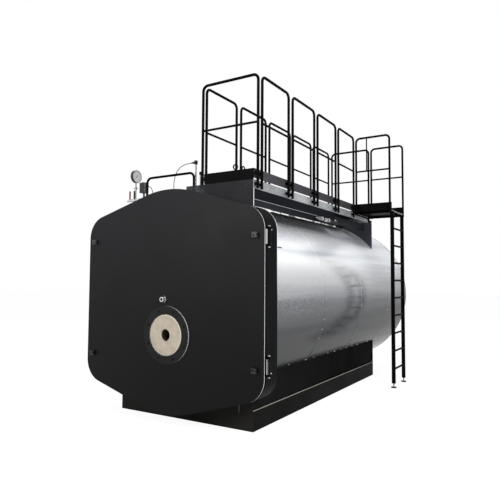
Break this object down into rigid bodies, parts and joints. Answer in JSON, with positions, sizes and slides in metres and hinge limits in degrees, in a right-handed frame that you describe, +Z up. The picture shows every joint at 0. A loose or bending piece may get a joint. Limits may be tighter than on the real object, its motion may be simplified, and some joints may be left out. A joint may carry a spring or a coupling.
{
  "type": "industrial fire-tube boiler",
  "caption": "Horizontal fire-tube boiler in a bright clad shell on a black skid, with a hinged front door, top walkway with handrails, side ladder and instruments.",
  "frame": {"origin": "on the floor, on the boiler's centre line, under the middle of the skid's front plate", "axes": "+Z up, +Y from the front door to the rear end, +X to the right of someone facing the door"},
  "size_m": [2.675, 5.288, 3.6166],
  "materials": {
    "black_paint": "satin powder coat, near black",
    "base_paint": "satin black paint",
    "rail_paint": "semi-gloss black paint",
    "toe_paint": "dark grey paint",
    "tread_plate": "raised-pattern floor sheet, dark grey",
    "galvanised": "galvanised steel, light grey",
    "bright_strip": "bright folded strip",
    "stucco_aluminium": "stucco-embossed bright sheet",
    "zinc": "zinc plated",
    "polished_steel": "polished stainless",
    "boiler_steel": "heat-darkened boiler steel",
    "refractory": "cast refractory, beige",
    "insulation": "rammed insulating lining",
    "black_plastic": "black plastic",
    "grey_plastic": "grey housing",
    "red_plastic": "red lever sleeve",
    "brass": "brass fitting",
    "cable_rubber": "black cable sheath"
  },
  "bodies": {
    "boiler": {"base_end_plates": "base_paint", "base_side_beams": "base_paint", "base_skirts": "base_paint", "black_valve_lever": "black_plastic", "cable_glands": "brass", "cladding_sheet_1": "stucco_aluminium", "cladding_sheet_2": "stucco_aluminium", "cladding_sheet_3": "stucco_aluminium", "cladding_sheet_4": "stucco_aluminium", "deck_edge_plates": "galvanised", "deck_sheet": "tread_plate", "flue_outlet": "boiler_steel", "front_casing": "black_paint", "front_tube_plate": "boiler_steel", "furnace_tube": "boiler_steel", "gauge_stem": "brass", "guard_hoop": "rail_paint", "handrail_front": "rail_paint", "handrail_rear": "rail_paint", "handrails_left": "rail_paint", "handrails_right": "rail_paint", "hinge_brackets": "black_paint", "hinge_pins": "zinc", "instrument_manifold": "boiler_steel", "junction_box": "grey_plastic", "ladder_feet": "rail_paint", "ladder_rungs": "rail_paint", "ladder_stiles": "rail_paint", "level_probe": "polished_steel", "level_probe_head": "black_plastic", "lifting_eyes": "rail_paint", "platform_frame": "rail_paint", "platform_handrail_front": "rail_paint", "platform_handrail_rear": "rail_paint", "platform_sheet": "tread_plate", "pressure_gauge": "polished_steel", "pressure_switch": "grey_plastic", "pressure_vessel": "boiler_steel", "probe_cable": "cable_rubber", "rear_access_door": "black_paint", "rear_cover": "stucco_aluminium", "rear_tube_plate": "boiler_steel", "red_valve_lever": "red_plastic", "short_level_probe": "polished_steel", "side_channel": "base_paint", "side_channel_trim": "bright_strip", "smoke_tube_ends": "boiler_steel", "switch_cable": "cable_rubber", "toe_boards": "toe_paint", "walkway_front_plate": "black_paint", "walkway_rear_plate": "base_paint", "walkway_underframe": "base_paint"},
    "front_door": {"door_skin": "black_paint", "door_lining": "insulation", "burner_plate": "black_paint", "burner_quarl": "refractory", "sight_glass": "polished_steel", "door_knobs": "black_plastic", "door_hinge_straps": "zinc"}
  },
  "joints": [
    {"name": "front_door_hinge", "type": "hinge", "parent": "boiler", "child": "front_door", "pos_m": [1.2, -0.24, 1.28], "axis": [0, 0, 1], "range_deg": [0, 100]}
  ]
}
